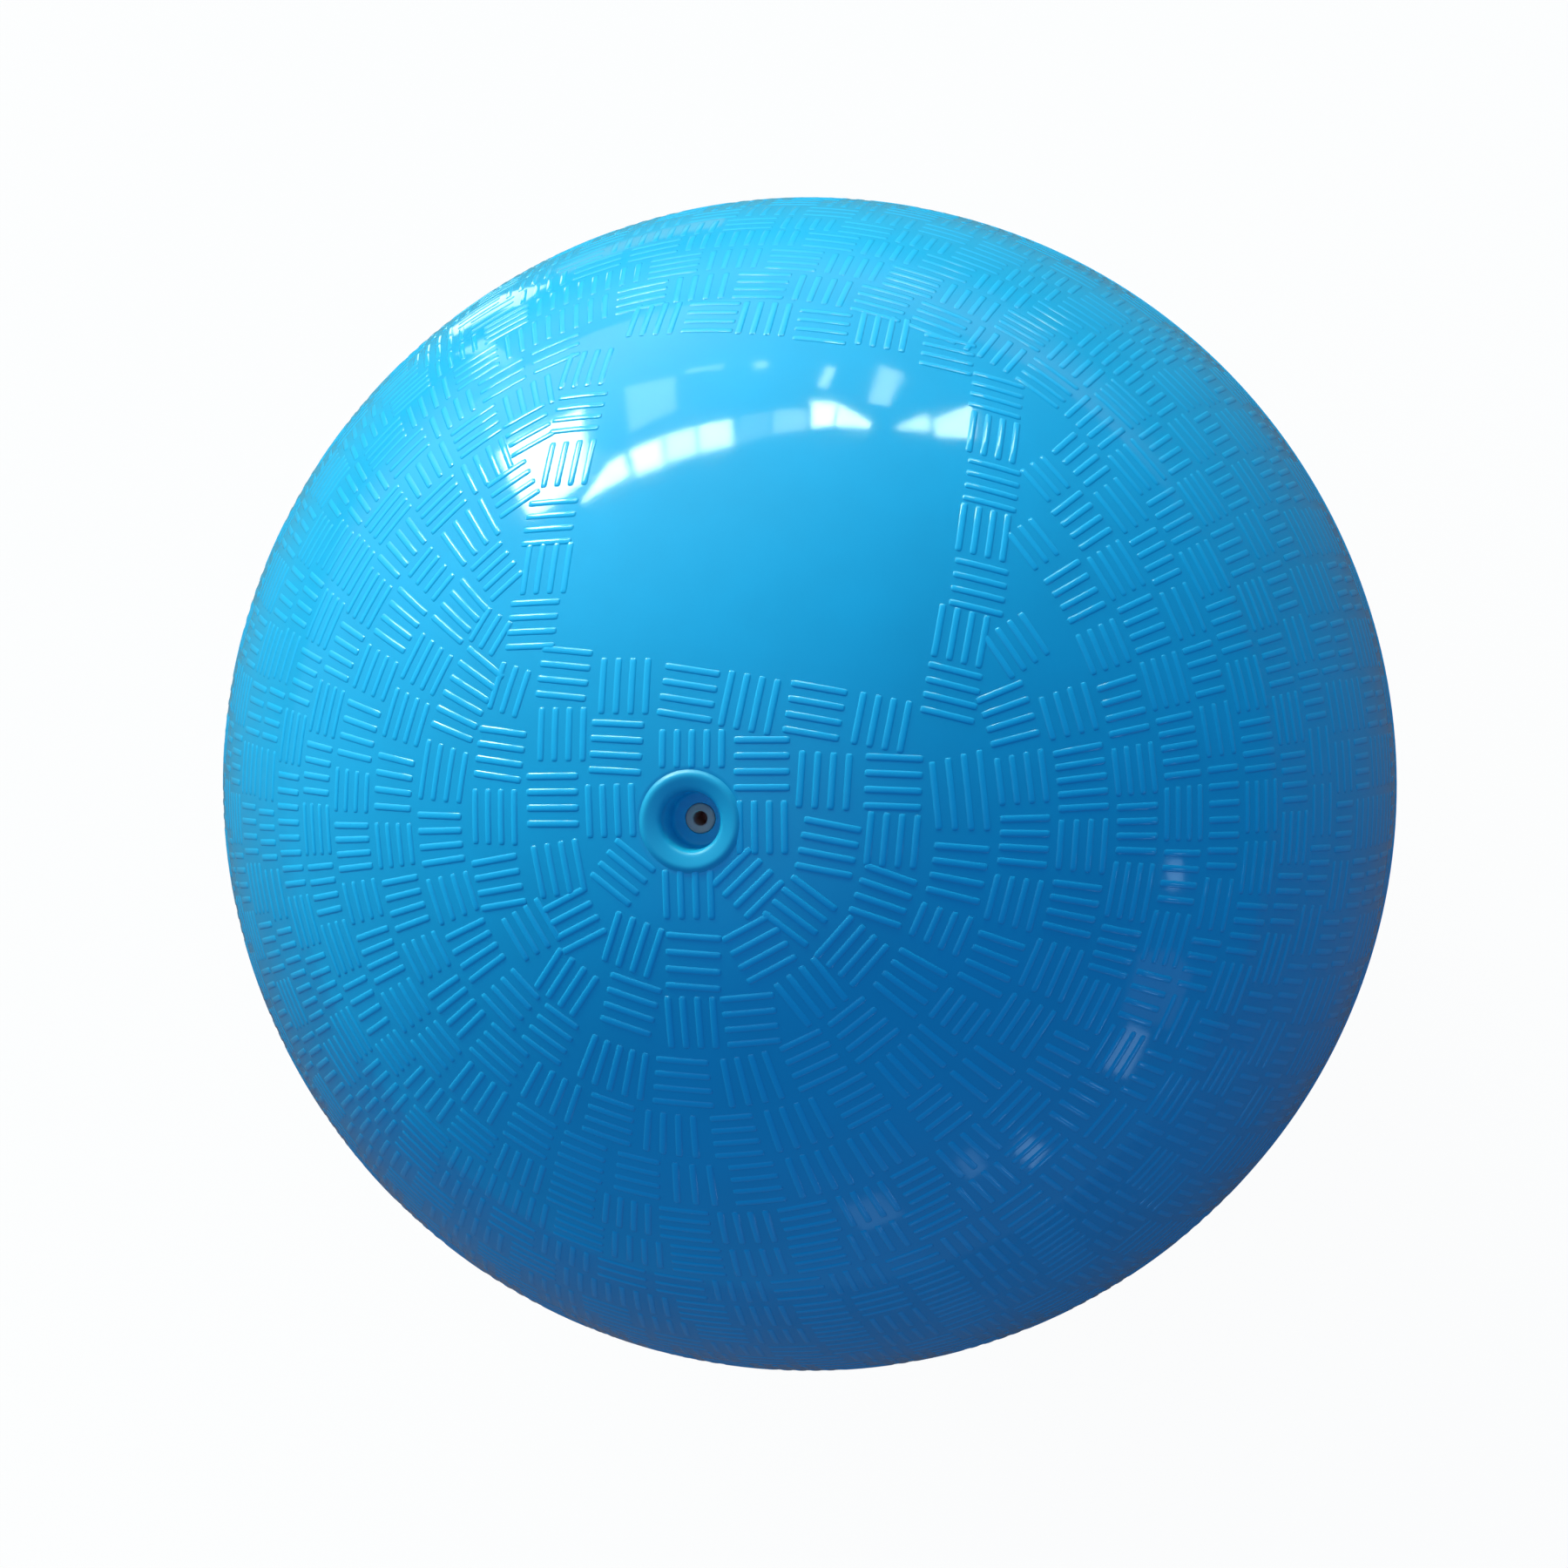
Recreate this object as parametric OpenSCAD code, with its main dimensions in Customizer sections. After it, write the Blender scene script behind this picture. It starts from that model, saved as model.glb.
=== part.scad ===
// Inflatable rubber dodgeball: a moulded cover over a wound carcass and an air bladder, with a recessed
// needle valve. The origin is the centre of the ball and the valve's axis is +Z, with the valve on top.

/* [Ball] */
// Diameter of the pumped-up ball, over the smooth ground of its cover
ball_d = 216; // [180:1:260]
// Thickness of the moulded outer cover
cover_t = 1.3; // [0.8:0.1:2.5]
// Thickness of the rubber ply under the cover
ply_t = 0.5; // [0.3:0.1:1]
// Thickness of the wound thread layer
winding_t = 0.4; // [0.3:0.1:0.8]
// Thickness of the air bladder's wall
bladder_t = 0.7; // [0.4:0.1:1.2]
// Clearance between one bonded layer and the next
layer_gap = 0.05; // [0.03:0.01:0.15]

/* [Mould line] */
// Height of the fine line that the two halves of the mould leave round the ball
mould_line_h = 0.2; // [0.1:0.05:0.4]
// Radius of the mould line's rounded top
mould_line_r = 0.5; // [0.4:0.05:1]

/* [Valve lip] */
// Outside diameter of the raised lip round the valve
lip_d = 15.8; // [15:0.1:20]
// Height of the lip's crest over the top of the ball
lip_h = 0.4; // [0.2:0.05:0.8]
// Radius of the lip's crest
lip_r = 0.6; // [0.4:0.05:0.9]
// Drop from the lip's crest to the edge of the well
dish_drop = 1.4; // [0.8:0.1:2.5]
// Radius of the well's edge
edge_r = 0.4; // [0.2:0.05:0.7]

/* [Valve housing] */
// Diameter of the well that the needle goes into
well_d = 9.4; // [8:0.1:11]
// Depth of the well's floor below the lip's crest
well_depth = 9; // [7:0.1:12]
// Rounding between the well's wall and its floor
well_round = 0.8; // [0.3:0.1:1.5]
// Diameter of the neck that passes through the layers
neck_d = 13.6; // [13:0.1:14.4]
// Diameter of the stem inside the ball
stem_d = 16; // [14:0.1:20]
// Length of the housing from the lip's crest to the bottom of the stem
housing_l = 22; // [20:0.5:30]
// Rounding of the stem's bottom edge
stem_round = 1.5; // [0.5:0.1:2]
// Diameter of the flange that holds the housing to the bladder
flange_d = 30; // [24:1:40]
// Thickness of the flange
flange_t = 1.2; // [0.8:0.1:2]
// Thickness of the well's floor
floor_t = 1.6; // [1:0.1:2.5]
// Thickness of the lip at the bottom of the stem that keeps the core in
retainer_t = 2.5; // [1.5:0.1:4]

/* [Valve patch] */
// Diameter of the patch that reinforces the bladder round the valve
patch_d = 38; // [32:1:60]
// Thickness of the patch
patch_t = 0.8; // [0.5:0.1:1.5]

/* [Valve core] */
// Diameter of the core's head, which shows in the floor of the well
core_head_d = 4.9; // [4:0.1:6]
// Height of the core's rounded head over the floor of the well
core_head_h = 0.3; // [0.1:0.05:0.6]
// Diameter of the core's body under the floor
core_body_d = 7.4; // [6.5:0.1:9]
// Diameter of the core's tip
core_tip_d = 5; // [4:0.1:6]
// Length of the tip that stands out of the bottom of the stem
core_tip_l = 1.5; // [0.5:0.1:3]
// Diameter of the needle bore
needle_d = 2.3; // [2:0.05:2.6]
// Depth of the needle bore from the top of the core to the closed slit
needle_depth = 8; // [6:0.1:10]
// Width of the bevel that leads the needle into its bore
lead_in = 0.3; // [0.1:0.05:0.4]
// Clearance between the core and its seat, and between the neck and the layers' holes
seat_gap = 0.05; // [0.03:0.01:0.1]

/* [Hidden] */
$fn = 128;
overrun = 1;

// The layers' outer radii, each one layer and one clearance below the last
cover_outer = ball_d / 2;
ply_outer = cover_outer - cover_t - layer_gap;
winding_outer = ply_outer - ply_t - layer_gap;
bladder_outer = winding_outer - winding_t - layer_gap;
patch_outer = bladder_outer - bladder_t - layer_gap;
flange_outer = patch_outer - patch_t - layer_gap;

// Heights along the valve's axis
crest_z = cover_outer + lip_h;
floor_z = crest_z - well_depth;
seat_z = floor_z - floor_t;
stem_z = crest_z - housing_l;
core_top_z = floor_z + core_head_h;
core_bottom_z = stem_z - core_tip_l;
body_z = stem_z + retainer_t;

// The layers' holes for the neck
neck_hole_d = neck_d + 2 * seat_gap;

// Centres of the two rounds of the lip's section, and the angle of the straight slope between them
crest_x = lip_d / 2 - lip_r;
crest_y = crest_z - lip_r;
edge_x = well_d / 2 + edge_r;
edge_y = crest_z - dish_drop - edge_r;
slope_span = norm([crest_x - edge_x, crest_y - edge_y]);
slope_angle = atan2(crest_y - edge_y, crest_x - edge_x) + acos((edge_r - lip_r) / slope_span);

// Blue of the cover and the valve housing
ball_colour = [0.09, 0.6, 0.85];

// A point on a round, at an angle from the section's x axis
function on_round(x, y, r, angle) = [x + r * cos(angle), y + r * sin(angle)];

// A spherical layer, open where the valve's neck passes through it
module layer(outer_r, thickness) {
    difference() {
        sphere(r = outer_r);
        sphere(r = outer_r - thickness);
        cylinder(d = neck_hole_d, h = crest_z + overrun);
    }
}

// A round piece of a spherical layer, centred on the valve's axis
module disc(outer_r, thickness, diameter) {
    intersection() {
        difference() {
            sphere(r = outer_r);
            sphere(r = outer_r - thickness);
        }
        cylinder(d = diameter, h = crest_z);
    }
}

// The line left where the two halves of the mould met
module mould_line() {
    rotate_extrude() translate([cover_outer + mould_line_h - mould_line_r, 0]) circle(r = mould_line_r);
}

module cover() {
    color(ball_colour) difference() {
        union() {
            sphere(r = cover_outer);
            mould_line();
        }
        sphere(r = cover_outer - cover_t);
        cylinder(d = neck_hole_d, h = crest_z + overrun);
    }
}

module backing_ply() {
    color("dimgray") layer(ply_outer, ply_t);
}

module thread_winding() {
    color("ivory") layer(winding_outer, winding_t);
}

module bladder() {
    color("darkslategray") layer(bladder_outer, bladder_t);
}

module valve_patch() {
    color("gray") difference() {
        disc(patch_outer, patch_t, patch_d);
        cylinder(d = neck_hole_d, h = crest_z);
    }
}

// Half section of the lip: a round crest, a slope down to the well's round edge, and the wall below them
module lip_section() {
    translate([crest_x, crest_y]) circle(r = lip_r);
    translate([edge_x, edge_y]) circle(r = edge_r);
    polygon([
        on_round(edge_x, edge_y, edge_r, slope_angle),
        on_round(crest_x, crest_y, lip_r, slope_angle),
        [crest_x, crest_y],
        [crest_x + lip_r, crest_y],
        [crest_x + lip_r, edge_y],
        [edge_x - edge_r, edge_y],
        [edge_x, edge_y]
    ]);
}

// The lip, which rests on the cover all round
module lip() {
    difference() {
        rotate_extrude() lip_section();
        difference() {
            sphere(r = cover_outer + layer_gap);
            cylinder(d = neck_d, h = crest_z);
        }
    }
}

// The wall of the well below its round edge
module neck() {
    translate([0, 0, seat_z]) cylinder(d = neck_d, h = edge_y - seat_z);
}

// The stem inside the ball, with a rounded bottom edge
module stem() {
    straight_l = flange_outer - flange_t - stem_z - stem_round;
    translate([0, 0, stem_z + stem_round]) cylinder(d = stem_d, h = straight_l);
    translate([0, 0, stem_z]) cylinder(d = stem_d - 2 * stem_round, h = stem_round);
    translate([0, 0, stem_z + stem_round]) rotate_extrude() {
        translate([stem_d / 2 - stem_round, 0]) circle(r = stem_round);
    }
}

// The hollow of the well, with a rounded corner round its floor
module well() {
    translate([0, 0, floor_z]) cylinder(d = well_d - 2 * well_round, h = well_round);
    translate([0, 0, floor_z + well_round]) {
        cylinder(d = well_d, h = edge_y - floor_z - well_round);
        rotate_extrude() translate([well_d / 2 - well_round, 0]) circle(r = well_round);
    }
}

module valve_housing() {
    color(ball_colour) difference() {
        union() {
            lip();
            neck();
            disc(flange_outer, flange_t, flange_d);
            stem();
        }
        well();
        core_shape(seat_gap, overrun);
    }
}

// The core's outside: a head in the floor of the well, a wide body under the floor and a narrow tip.
// The same shape, grown by a clearance, is cut out of the housing as the core's seat.
module core_shape(gap, extra_l) {
    translate([0, 0, core_bottom_z - extra_l]) {
        cylinder(d = core_tip_d + 2 * gap, h = body_z - core_bottom_z + extra_l);
    }
    translate([0, 0, body_z - gap]) {
        cylinder(d = core_body_d + 2 * gap, h = seat_z - body_z + 2 * gap);
    }
    translate([0, 0, seat_z]) {
        cylinder(d = core_head_d + 2 * gap, h = floor_t + extra_l);
    }
}

// The round rim of the core's head, which stands a little over the well's floor
module core_rim() {
    translate([0, 0, floor_z]) {
        cylinder(d = core_head_d - 2 * core_head_h, h = core_head_h);
        rotate_extrude() translate([core_head_d / 2 - core_head_h, 0]) circle(r = core_head_h);
    }
}

// The blind bore for the inflating needle, with a bevelled mouth. The slit below it is closed at rest.
module needle_bore() {
    bevel_l = lead_in + overrun;
    translate([0, 0, core_top_z - needle_depth]) cylinder(d = needle_d, h = needle_depth + overrun);
    translate([0, 0, core_top_z - lead_in]) cylinder(d1 = needle_d, d2 = needle_d + 2 * bevel_l, h = bevel_l);
}

module valve_core() {
    color("rosybrown") difference() {
        union() {
            core_shape(0, 0);
            core_rim();
        }
        needle_bore();
    }
}

cover();
backing_ply();
thread_winding();
bladder();
valve_patch();
valve_housing();
valve_core();
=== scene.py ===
import math
import random

import bpy
import numpy as np
from mathutils import Matrix, Vector


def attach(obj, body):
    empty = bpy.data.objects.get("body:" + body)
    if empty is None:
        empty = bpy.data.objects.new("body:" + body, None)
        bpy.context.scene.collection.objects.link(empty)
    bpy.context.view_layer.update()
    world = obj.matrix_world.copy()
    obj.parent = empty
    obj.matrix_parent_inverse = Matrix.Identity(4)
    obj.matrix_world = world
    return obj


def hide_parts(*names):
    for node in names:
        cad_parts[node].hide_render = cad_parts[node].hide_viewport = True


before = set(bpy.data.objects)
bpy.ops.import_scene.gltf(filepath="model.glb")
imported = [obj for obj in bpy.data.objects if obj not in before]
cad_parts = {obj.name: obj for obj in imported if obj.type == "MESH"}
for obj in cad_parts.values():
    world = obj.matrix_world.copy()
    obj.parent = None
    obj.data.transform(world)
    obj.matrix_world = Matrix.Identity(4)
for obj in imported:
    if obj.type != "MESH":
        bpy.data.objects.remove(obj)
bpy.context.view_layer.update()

# Sizes, in metres unless they say degrees
MM = 0.001
BALL_R = 0.108
SKIN_T = 1.3 * MM
HOLE_R = 6.85 * MM
MOULD_LINE_H = 0.2 * MM
MOULD_LINE_W = 0.42 * MM
RIB_W = 0.66 * MM         # half the width of a rib
RIB_H = 0.18 * MM         # near the two poles
RIB_LOW = 0.62            # share of that height near the mould line, where steep ribs would hold the mould
RIB_FADE = (62.0, 40.0)   # degrees from the nearer pole between which the height changes
RIB_SINK = 0.02 * MM      # how far a rib's underside lies below the skin
RIB_END = 0.6 * MM        # length of a rib's rounded end
RIB_END_WIDTH = 0.55      # width of a rib's very end, as a share of its full width
RIB_END_FOOT = 0.12       # height there, as a share of its full height
RIB_END_STEPS = (0.0, 0.12, 0.4, 1.0)   # shares of that end's length
# Section of a rib from its foot to near its middle, as shares of its half width and of its height
RIB_FLANK = ((1.0, 0.0), (0.9, 0.1), (0.8, 0.36), (0.68, 0.65), (0.5, 0.85), (0.27, 0.96))
RIBS_PER_PIECE = 750
RIB_PITCH = 1.33          # degrees on the ball
RING_PITCH = 1.38         # degrees between the ribs of a ring that point to the valve
LEAST_RIBS = 3            # in a patch of a ring
PATCH_PITCH = 5.55        # degrees on the ball
LEAST_PATCHES = 4         # in a woven row
REPEATED = 0.1            # share of a woven row's patches with the direction of the one before
BARE_STRIP = 0.75         # degrees between two patches
RING_SHIFT = 0.3          # degrees by which the rings lie off the valve's axis
PATTERN_SEED = 4
FLOOR_Z = -BALL_R

# Fineness of the meshes
SKIN_SEGMENTS = 256
SKIN_ROWS = (74, 11, 76)  # rows of points above the mould line, across it and below it
INSIDE_ROWS = 60
CUP_SEGMENTS = 160
CORE_SEGMENTS = 96
ON_AXIS = 1e-9            # a point of a section this near to the axis is one point of the solid
SHARP_ANGLE = 40          # degrees

# Camera: the direction from the ball's centre, and the picture's right and up
VIEW_DIR = Vector((0.17832, 0.05491, 0.98244))
VIEW_RIGHT = Vector((0.98397, -0.00995, -0.17805))
VIEW_UP = Vector((0.0, 0.99844, -0.05580))
VIEW_DISTANCE = 7.0 * BALL_R
SENSOR_WIDTH = 36.0       # millimetres
LENS = 93.28              # millimetres
SHIFT_X = -0.01639        # share of the picture's width
CLIP_START = 0.01


# Layout of the grip pattern.
# A patch is a group of parallel ribs. Directions on the ball are unit vectors, and a chart is a map
# of the ball round one direction, in degrees, on which distances from its middle are true.

def on_ball(colatitude, azimuth):
    """The direction at a colatitude from the valve and an azimuth round it."""
    c, a = math.radians(colatitude), math.radians(azimuth)
    return np.array((math.sin(c) * math.cos(a), math.sin(c) * math.sin(a), math.cos(c)))


class Chart:
    """A map of the ball round the direction middle, with its x axis along the direction x_axis."""

    def __init__(self, middle, x_axis):
        self.n = middle
        self.x = x_axis
        self.y = np.cross(middle, x_axis)

    def point(self, x, y):
        reach, turn = math.radians(math.hypot(x, y)), math.atan2(y, x)
        side = math.cos(turn) * self.x + math.sin(turn) * self.y
        return math.cos(reach) * self.n + math.sin(reach) * side

    def patch(self, x, y, tilt, count=4, length=4.9, pitch=RIB_PITCH):
        """The ribs of one patch: its middle, their direction, and how many, how long and how far apart."""
        t = math.radians(tilt)
        along, across = np.array((math.cos(t), math.sin(t))), np.array((-math.sin(t), math.cos(t)))
        for i in range(count):
            middle = np.array((x, y)) + across * (i - (count - 1) / 2) * pitch
            yield self.point(*(middle - along * length / 2)), self.point(*(middle + along * length / 2))


VALVE_CHART = Chart(on_ball(0, 0), np.array((1.0, 0.0, 0.0)))

# Patches near the valve: x, y, tilt, and where they differ, number of ribs, their length and pitch
NEAR_VALVE = [
    (-11.6, 12.75, -6), (-5.9, 11.6, 89), (-0.2, 10.95, -9), (5.1, 10.1, 79), (10.7, 9.4, -10),
    (16.4, 8.4, 79, 4, 4.6),
    (-17.6, 5.7, -7), (-11.55, 7.45, 90, 4, 4.7), (-6.5, 6.3, -3, 4, 4.8, 1.35),
    (0.2, 6.2, 90, 5, 3.3, 1.29), (6.2, 4.9, 0, 4, 4.8, 1.35), (11.5, 3.45, 86),
    (17.4, 3.25, -3, 4, 5.0, 1.4),
    (-18.1, 0.2, 90), (-12.4, 1.75, 1, 4, 5.0, 1.37), (-7.0, 0.9, 92, 4, 4.6, 1.3),
    (6.2, -0.5, 90, 4, 4.6, 1.27), (11.8, -2.3, -12, 4, 5.0), (17.25, -1.75, 84, 4, 4.7),
    (-6.0, -4.4, -38, 4, 4.4, 1.25), (-0.25, -6.25, 90, 4, 4.3, 1.3), (4.9, -5.3, 44, 4, 4.6, 1.3),
    (-11.9, -4.2, 100, 4, 4.7), (-10.75, -8.75, 27, 4, 4.8), (-5.4, -10.75, 69, 4, 4.8),
    (-0.1, -12.2, -4, 4, 4.9, 1.5), (5.7, -11.0, 28, 4, 4.9, 1.4), (9.25, -7.75, -39, 4, 4.8),
    (-17.9, -5.6, 11, 4, 4.8, 1.35), (-14.9, -9.7, 120, 4, 4.3, 1.3), (-11.9, -14.4, 53, 4, 4.8),
    (-6.0, -16.2, -18, 4, 4.8, 1.42), (-0.6, -17.75, 90), (4.6, -17.5, 5, 4, 4.8, 1.42),
    (10.0, -15.0, -55), (13.6, -11.4, 48), (16.4, -6.6, -21, 4, 4.8),
    (-16.9, 11.4, 73, 3, 4.4),
]

# Patches that fill the corners between the rings and the two sides of the label panel
CORNERS = [
    (-19.4, 22.4, 41, 4, 4.0), (-19.3, 16.7, 59, 3, 3.6), (-19.1, 30.6, 33, 4, 4.6),
    (-18.9, 37.0, 28, 4, 4.8),
    (28.4, 15.4, 124, 4, 4.6), (30.2, 25.2, 127, 3, 4.4), (31.7, 32.2, 130, 3, 4.2),
]

# Label panel: its middle, and the turn of its x axis from the parallel through that middle
PANEL_COLATITUDE = 27.49
PANEL_AZIMUTH = 80.08
PANEL_TURN = math.radians(4.84)

# Patches that border the panel on three sides, on its own chart: x, y, tilt
PANEL_BORDER = [
    (-18.7, -10.7, 0), (-18.05, -5.5, 90), (-18.5, -1, 0), (-17.8, 5.0, 90), (-18.05, 10.7, 0),
    (-18.6, 16.2, 90),
    (19.1, -13.3, -2), (19.2, -8.1, 88), (20.2, -3.3, 0), (19.9, 2.05, 90), (20.1, 7.0, 0),
    (19.6, 12.3, 90), (19.4, 17.4, 0),
    (-13.3, 22.4, 90), (-7.8, 22.4, 0), (-2.8, 22.4, 90), (2.7, 21.9, 0), (8.2, 22.4, 90),
    (14.4, 21.1, 0),
]


def panel_chart():
    middle = on_ball(PANEL_COLATITUDE, PANEL_AZIMUTH)
    east = np.cross((0, 0, 1), middle)
    east /= np.linalg.norm(east)
    out = np.cross(east, middle)
    return Chart(middle, -math.cos(PANEL_TURN) * east + math.sin(PANEL_TURN) * out)


# Rings round the valve: two colatitudes, then arcs as first azimuth, last azimuth and patches.
# R is a patch of ribs that point to the valve, T one of ribs across them, and "weave" alternates.
RINGS = [
    (20.6, 26.3, [
        (143, 163, "R"), (163.5, 177.5, "T"), (178, 191, "R"), (191.5, 203, "T"), (203.2, 216, "R"),
        (217, 240, "TT"), (242, 258, "R"), (258, 272.5, "T"), (273.5, 287, "R"), (288, 314, "TT"),
        (315.5, 329, "R"), (330.5, 341, "T"), (341.5, 355.5, "R"), (356.5, 374.5, "T")]),
    (26.3, 31.7, [
        (135.5, 146, "R"), (147, 167.5, "TT"), (168.5, 180, "R"), (180.5, 190, "T"), (190.3, 201, "R"),
        (201.5, 210.5, "T"), (211, 222, "R"), (222.5, 233.5, "T"), (234, 245.5, "R"),
        (246, 256.5, "T"), (257, 268.5, "R"), (269.5, 279.5, "T"), (280, 292, "R"), (293, 303, "T"),
        (303.8, 317.5, "R"), (317.8, 326.5, "T"), (327.2, 339, "R"), (339.5, 350, "T"),
        (350.5, 361, "R"), (361.5, 372, "T"), (372.5, 384, "R")]),
    (31.7, 37.4, [
        (126, 136, "R"), (136.5, 143.5, "T"), (144, 153.5, "R"), (153.7, 162, "T"),
        (162.3, 172.3, "R"), (172.6, 180.5, "T"), (180.8, 189.5, "R"), (189.8, 197.5, "T"),
        (197.8, 207, "R"), (207, 223.5, "TT"), (224, 234, "R"), (234.5, 252.5, "TT"),
        (253, 261.5, "T"), (262, 270.5, "R"), (271.5, 280.5, "T"), (281, 291, "R"),
        (291.8, 301, "R"), (303, 311.5, "T"), (312, 320.5, "R"), (321, 340.5, "TT"),
        (341, 350.3, "R"), (350.6, 360, "T"), (360, 371, "R"), (371.5, 380, "T")]),
    (37.4, 42.5, [
        (120, 186.7, "RTRTRTRT"), (186.7, 195, "R"), (195, 203.5, "T"), (203.5, 212.5, "R"),
        (212.5, 219, "T"), (219, 227.5, "R"), (227.5, 260, "TRTR"), (260, 268.5, "T"),
        (268.5, 286, "RT"), (286, 294.5, "R"), (294.5, 302, "T"), (302, 310.5, "R"),
        (310.5, 319.5, "T"), (319.5, 328.3, "R"), (328.7, 337, "T"), (337, 344.7, "R"),
        (344.7, 353.8, "T"), (353.8, 361.8, "R"), (361.8, 369.7, "T"), (370, 378.8, "R"),
        (379.2, 386.5, "T"), (387, 395.5, "R")]),
    (42.5, 47.5, [(3.5, 12.3, "R"), (12.3, 42.3, "TRTR"), (112, 363.5, "weave")]),
    (47.5, 52.1, [(-0.5, 5.5, "R"), (5.5, 48, "TRTRTR"), (108, 359.5, "weave")]),
    (52.1, 57.3, [(-3.5, 43.3, "TRTRTRT"), (43.3, 356.5, "weave")]),
    (57.3, 62.1, [(-0.5, 30.2, "RTRTR"), (30.2, 359.5, "weave")]),
    (62.1, 66.7, [(2, 36.2, "TRTRTR"), (36.2, 362, "weave")]),
]
# Plain woven rings: on from those to the mould line, and from the far end back to it
BELT_EDGES = [66.7, 71.2, 75.8, 80.3, 84.9, 89.4]
FAR_EDGES = [175.6, 170.2, 164.8, 159.4, 153.8, 148.4, 142.8, 137.6, 132.6, 127.8, 122.8, 118.0, 113.3,
             108.8, 104.2, 99.7, 95.1, 90.6]
FAR_END = 125             # colatitude from which the zone round the far end is counted


def ring_shift(azimuth):
    """How many degrees further from the valve the rings near it lie at an azimuth."""
    return RING_SHIFT - RING_SHIFT * math.cos(math.radians(azimuth))


def no_shift(azimuth):
    """The same for the plain rings, which are true to the axis."""
    return 0


def ring_patch(low, high, start, end, kind, shift):
    """The ribs of one patch of a ring, between two colatitudes and two azimuths."""
    squeeze = math.sin(math.radians((low + high) / 2))
    margin = BARE_STRIP / 2
    if kind == "R":
        count = max(LEAST_RIBS, round((end - start) * squeeze / RING_PITCH))
        for i in range(count):
            azimuth = start + (end - start) * (i + 0.5) / count
            moved = shift(azimuth)
            yield on_ball(low + margin + moved, azimuth), on_ball(high - margin + moved, azimuth)
    else:
        count = max(LEAST_RIBS, round((high - low) / RIB_PITCH))
        first, last = start + margin / squeeze, end - margin / squeeze
        for i in range(count):
            colatitude = low + (high - low) * (i + 0.5) / count
            yield on_ball(colatitude + shift(first), first), on_ball(colatitude + shift(last), last)


def woven(rng, low, high, start, end):
    """A row of patches that mostly alternate, as letters."""
    squeeze = math.sin(math.radians((low + high) / 2))
    letters = []
    kind = rng.choice("RT")
    for _ in range(max(LEAST_PATCHES, round((end - start) * squeeze / PATCH_PITCH))):
        letters.append(kind)
        if rng.random() > REPEATED:
            kind = "T" if kind == "R" else "R"
    return "".join(letters)


def ring_ribs(low, high, arcs, rng, shift):
    """The ribs of one ring, from its arcs."""
    for start, end, letters in arcs:
        if letters == "weave":
            letters = woven(rng, low, high, start, end)
        width = (end - start) / len(letters)
        for i, kind in enumerate(letters):
            yield from ring_patch(low, high, start + width * i, start + width * (i + 1), kind, shift)


def grip_ribs():
    """All the ribs of the grip pattern as pairs of directions, in four zones from the valve on."""
    rng = random.Random(PATTERN_SEED)
    valve_end = [rib for patch in NEAR_VALVE + CORNERS for rib in VALVE_CHART.patch(*patch)]
    chart = panel_chart()
    valve_end += [rib for patch in PANEL_BORDER for rib in chart.patch(*patch)]
    for low, high, arcs in RINGS:
        valve_end += ring_ribs(low, high, arcs, rng, ring_shift)
    upper_belt, lower_belt, far_end = [], [], []
    for low, high in zip(BELT_EDGES, BELT_EDGES[1:]):
        upper_belt += ring_ribs(low, high, [(0, 360, "weave")], rng, no_shift)
    for high, low in zip(FAR_EDGES, FAR_EDGES[1:]):
        zone = lower_belt if high < FAR_END else far_end
        start = rng.uniform(0, 360)
        zone += ring_ribs(low, high, [(start, start + 360, "weave")], rng, no_shift)
    return {"grip_ribs_valve_end": valve_end, "grip_ribs_upper_belt": upper_belt,
            "grip_ribs_lower_belt": lower_belt, "grip_ribs_far_end": far_end}


# Mesh tools

def new_piece(name, mesh):
    piece = bpy.data.objects.new(name, mesh)
    bpy.context.scene.collection.objects.link(piece)
    return piece


def mesh_from_arrays(name, points, faces):
    """A smooth mesh from an array of points and a list of arrays of faces, one array for each face size."""
    mesh = bpy.data.meshes.new(name)
    corners = np.concatenate([f.ravel() for f in faces]).astype(np.int32)
    totals = np.concatenate([np.full(len(f), f.shape[1]) for f in faces]).astype(np.int32)
    starts = np.concatenate(([0], np.cumsum(totals)[:-1])).astype(np.int32)
    mesh.vertices.add(len(points))
    mesh.vertices.foreach_set("co", points.astype(np.float32).ravel())
    mesh.loops.add(len(corners))
    mesh.loops.foreach_set("vertex_index", corners)
    mesh.polygons.add(len(totals))
    mesh.polygons.foreach_set("loop_start", starts)
    mesh.polygons.foreach_set("loop_total", totals)
    mesh.polygons.foreach_set("use_smooth", np.ones(len(totals), bool))
    mesh.update(calc_edges=True)
    mesh.validate()
    return mesh


def lathe(name, profile, segments):
    """A closed solid of revolution about Z from a closed half section, as (radius, height) pairs."""
    turn = np.linspace(0, 2 * math.pi, segments, endpoint=False)
    points, rows = [], []
    for r, z in profile:
        if r < ON_AXIS:
            rows.append([len(points)] * segments)
            points.append((0.0, 0.0, z))
        else:
            rows.append(list(range(len(points), len(points) + segments)))
            points.extend(zip(r * np.cos(turn), r * np.sin(turn), [z] * segments))
    quads, triangles = [], []
    for a, b in zip(rows, rows[1:] + rows[:1]):
        for i in range(segments):
            j = (i + 1) % segments
            if a[0] == a[1] and b[0] == b[1]:
                continue
            if a[0] == a[1]:
                triangles.append((a[0], b[i], b[j]))
            elif b[0] == b[1]:
                triangles.append((a[i], b[0], a[j]))
            else:
                quads.append((a[i], b[i], b[j], a[j]))
    faces = [np.array(f) for f in (quads, triangles) if f]
    return mesh_from_arrays(name, np.array(points), faces)


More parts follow.
